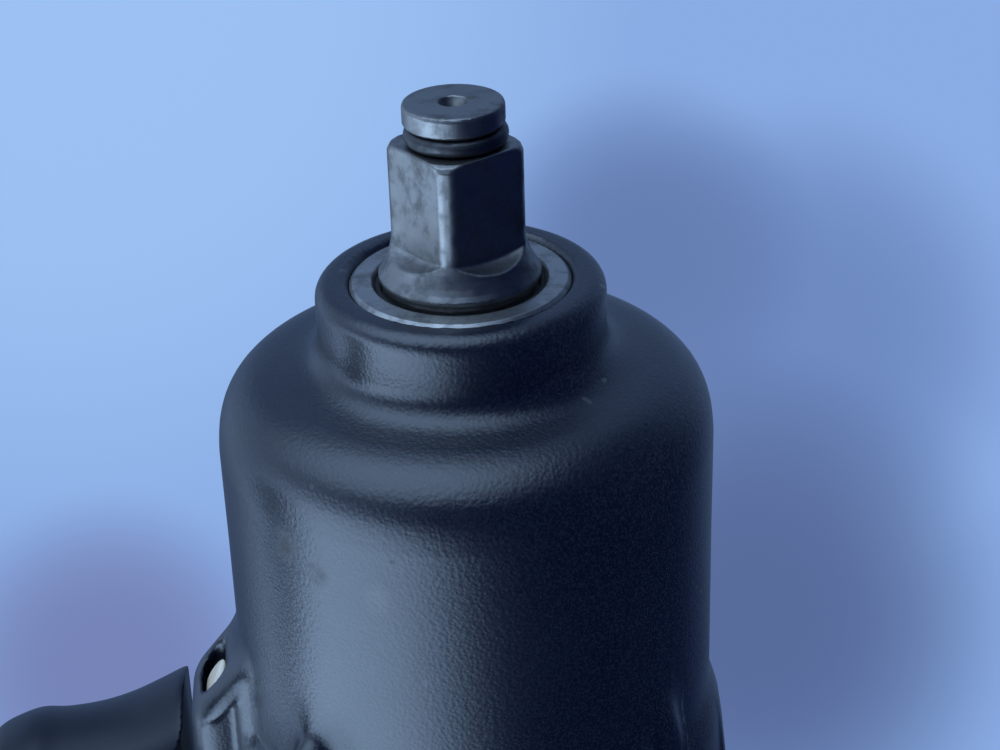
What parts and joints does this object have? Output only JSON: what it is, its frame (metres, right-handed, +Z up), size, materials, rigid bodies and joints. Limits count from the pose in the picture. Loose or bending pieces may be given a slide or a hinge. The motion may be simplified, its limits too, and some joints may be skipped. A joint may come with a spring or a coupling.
{
  "type": "impact wrench",
  "caption": "Battery pistol-grip impact wrench with a square drive and friction ring, textured nose case, lamp above the trigger, and a slide-on battery foot.",
  "frame": {"origin": "under the middle of the tool, on the surface its battery stands on", "axes": "+X forward along the drive axis towards the anvil tip, +Y to the tool's left, +Z up"},
  "size_m": [0.172, 0.0778, 0.2406],
  "materials": {
    "anvil_steel": "worn ground steel with pitting",
    "ring_steel": "dark spring steel",
    "rubber": "matte black rubber",
    "bushing_steel": "turned bearing steel",
    "washer_bronze": "sintered bronze",
    "case_black": "black powder coat with fine leather grain",
    "screw_black": "blackened steel",
    "forged_steel": "machined forging, oiled",
    "spring_steel": "shot-peened spring wire",
    "bright_steel": "polished balls and races",
    "gear_steel": "hardened gear steel",
    "plate_aluminium": "die-cast aluminium",
    "magnet": "nickel-plated magnets",
    "dark_plastic": "moulded glass-filled nylon",
    "lamination": "stacked laminations",
    "copper": "enamelled copper wire",
    "ivory_plastic": "ivory insulator",
    "board_green": "solder-masked board",
    "body_orange": "orange-red moulded nylon",
    "lens": "cream diffusing lens",
    "trigger_black": "smooth black plastic",
    "grey_plastic": "dark grey plastic",
    "wire_red": "silicone lead insulation",
    "contact_brass": "tinned brass contacts",
    "battery_black": "black moulded plastic",
    "cell_wrap": "shrink-wrapped cells"
  },
  "bodies": {
    "housing": {"nose_bushing": "bushing_steel", "nose_seal": "rubber", "anvil_washer": "washer_bronze", "hammer_case": "case_black", "case_screws": "screw_black", "ring_gear": "gear_steel", "gear_plate": "plate_aluminium", "spindle_bearing": "bright_steel", "front_motor_bearing": "bright_steel", "rear_motor_bearing": "bright_steel", "stator_core": "lamination", "stator_insulators": "ivory_plastic", "stator_windings": "copper", "sensor_board": "board_green", "rear_cap": "dark_plastic", "rear_cap_screws": "screw_black", "housing_left": "body_orange", "housing_right": "body_orange", "housing_screws": "screw_black", "grip_left": "rubber", "grip_right": "rubber", "led_lens": "lens", "led_board": "board_green", "trigger_switch": "dark_plastic", "motor_leads": "wire_red", "control_board": "board_green", "mode_panel": "dark_plastic", "terminal_block": "dark_plastic", "terminal_blades": "contact_brass", "hook_inserts": "contact_brass"},
    "anvil": {"anvil": "anvil_steel", "friction_ring": "ring_steel", "ring_cushion": "rubber"},
    "spindle": {"cam_shaft": "gear_steel", "cam_balls": "bright_steel", "spring_seat": "bright_steel", "planet_pins": "bright_steel", "impact_spring": "spring_steel"},
    "spring_end": {"spring_washer": "bright_steel", "thrust_balls": "bright_steel"},
    "hammer": {"hammer": "forged_steel"},
    "planet_1": {"planet_gear_1": "gear_steel"},
    "planet_2": {"planet_gear_2": "gear_steel"},
    "planet_3": {"planet_gear_3": "gear_steel"},
    "rotor": {"motor_shaft": "gear_steel", "rotor_core": "lamination", "rotor_magnets": "magnet", "cooling_fan": "dark_plastic"},
    "trigger": {"trigger": "trigger_black"},
    "direction_selector": {"direction_selector": "trigger_black"},
    "mode_button": {"mode_button": "grey_plastic"},
    "battery": {"battery_lower_case": "battery_black", "battery_upper_case": "battery_black", "battery_cells": "cell_wrap", "battery_contacts": "contact_brass", "gauge_lens": "dark_plastic"},
    "release_button_left": {"release_button_left": "grey_plastic"},
    "release_button_right": {"release_button_right": "grey_plastic"},
    "gauge_button": {"gauge_button": "grey_plastic"}
  },
  "joints": [
    {"name": "spindle_spin", "type": "hinge", "parent": "housing", "child": "spindle", "pos_m": [0, 0, 0.207], "axis": [1, 0, 0], "continuous": true},
    {"name": "anvil_spin", "type": "hinge", "parent": "housing", "child": "anvil", "pos_m": [0.06, 0, 0.207], "axis": [1, 0, 0], "continuous": true},
    {"name": "rotor_spin", "type": "hinge", "parent": "housing", "child": "rotor", "pos_m": [-0.05, 0, 0.207], "axis": [1, 0, 0], "continuous": true},
    {"name": "hammer_retract", "type": "slide", "parent": "spindle", "child": "spring_end", "axis": [-1, 0, 0], "range_m": [0, 0.009], "stiffness_N_per_m": 9000, "springref_m": -0.004, "deforming": ["impact_spring"]},
    {"name": "hammer_turn", "type": "hinge", "parent": "spring_end", "child": "hammer", "pos_m": [0.015, 0, 0.207], "axis": [1, 0, 0], "range_deg": [-38, 0]},
    {"name": "planet_1_spin", "type": "hinge", "parent": "spindle", "child": "planet_1", "pos_m": [0, 0.0135, 0.207], "axis": [1, 0, 0], "continuous": true},
    {"name": "planet_2_spin", "type": "hinge", "parent": "spindle", "child": "planet_2", "pos_m": [0, -0.00675, 0.21869], "axis": [1, 0, 0], "continuous": true},
    {"name": "planet_3_spin", "type": "hinge", "parent": "spindle", "child": "planet_3", "pos_m": [0, -0.00675, 0.19531], "axis": [1, 0, 0], "continuous": true},
    {"name": "trigger_pull", "type": "slide", "parent": "housing", "child": "trigger", "axis": [-1, 0, 0], "range_m": [0, 0.007], "stiffness_N_per_m": 900, "springref_m": -0.003},
    {"name": "direction_slide", "type": "slide", "parent": "housing", "child": "direction_selector", "axis": [0, 1, 0], "range_m": [-0.0035, 0.0035]},
    {"name": "mode_press", "type": "slide", "parent": "housing", "child": "mode_button", "axis": [0, 0, -1], "range_m": [0, 0.0008], "stiffness_N_per_m": 1500, "springref_m": -0.0004},
    {"name": "battery_slide", "type": "slide", "parent": "housing", "child": "battery", "axis": [1, 0, 0], "range_m": [0, 0.11]},
    {"name": "release_left", "type": "slide", "parent": "battery", "child": "release_button_left", "axis": [0, -1, 0], "range_m": [0, 0.0025], "stiffness_N_per_m": 1500, "springref_m": -0.001},
    {"name": "release_right", "type": "slide", "parent": "battery", "child": "release_button_right", "axis": [0, 1, 0], "range_m": [0, 0.0025], "stiffness_N_per_m": 1500, "springref_m": -0.001},
    {"name": "gauge_press", "type": "slide", "parent": "battery", "child": "gauge_button", "axis": [-1, 0, 0], "range_m": [0, 0.0005], "stiffness_N_per_m": 1500, "springref_m": -0.0003}
  ],
  "couplings": [
    {"joint": "anvil_spin", "follows": "spindle_spin", "ratio": 1},
    {"joint": "rotor_spin", "follows": "spindle_spin", "ratio": 5},
    {"joint": "planet_1_spin", "follows": "spindle_spin", "ratio": -2.6667},
    {"joint": "planet_2_spin", "follows": "spindle_spin", "ratio": -2.6667},
    {"joint": "planet_3_spin", "follows": "spindle_spin", "ratio": -2.6667},
    {"joint": "hammer_turn", "follows": "hammer_retract", "rad_per_m": -73.69}
  ]
}
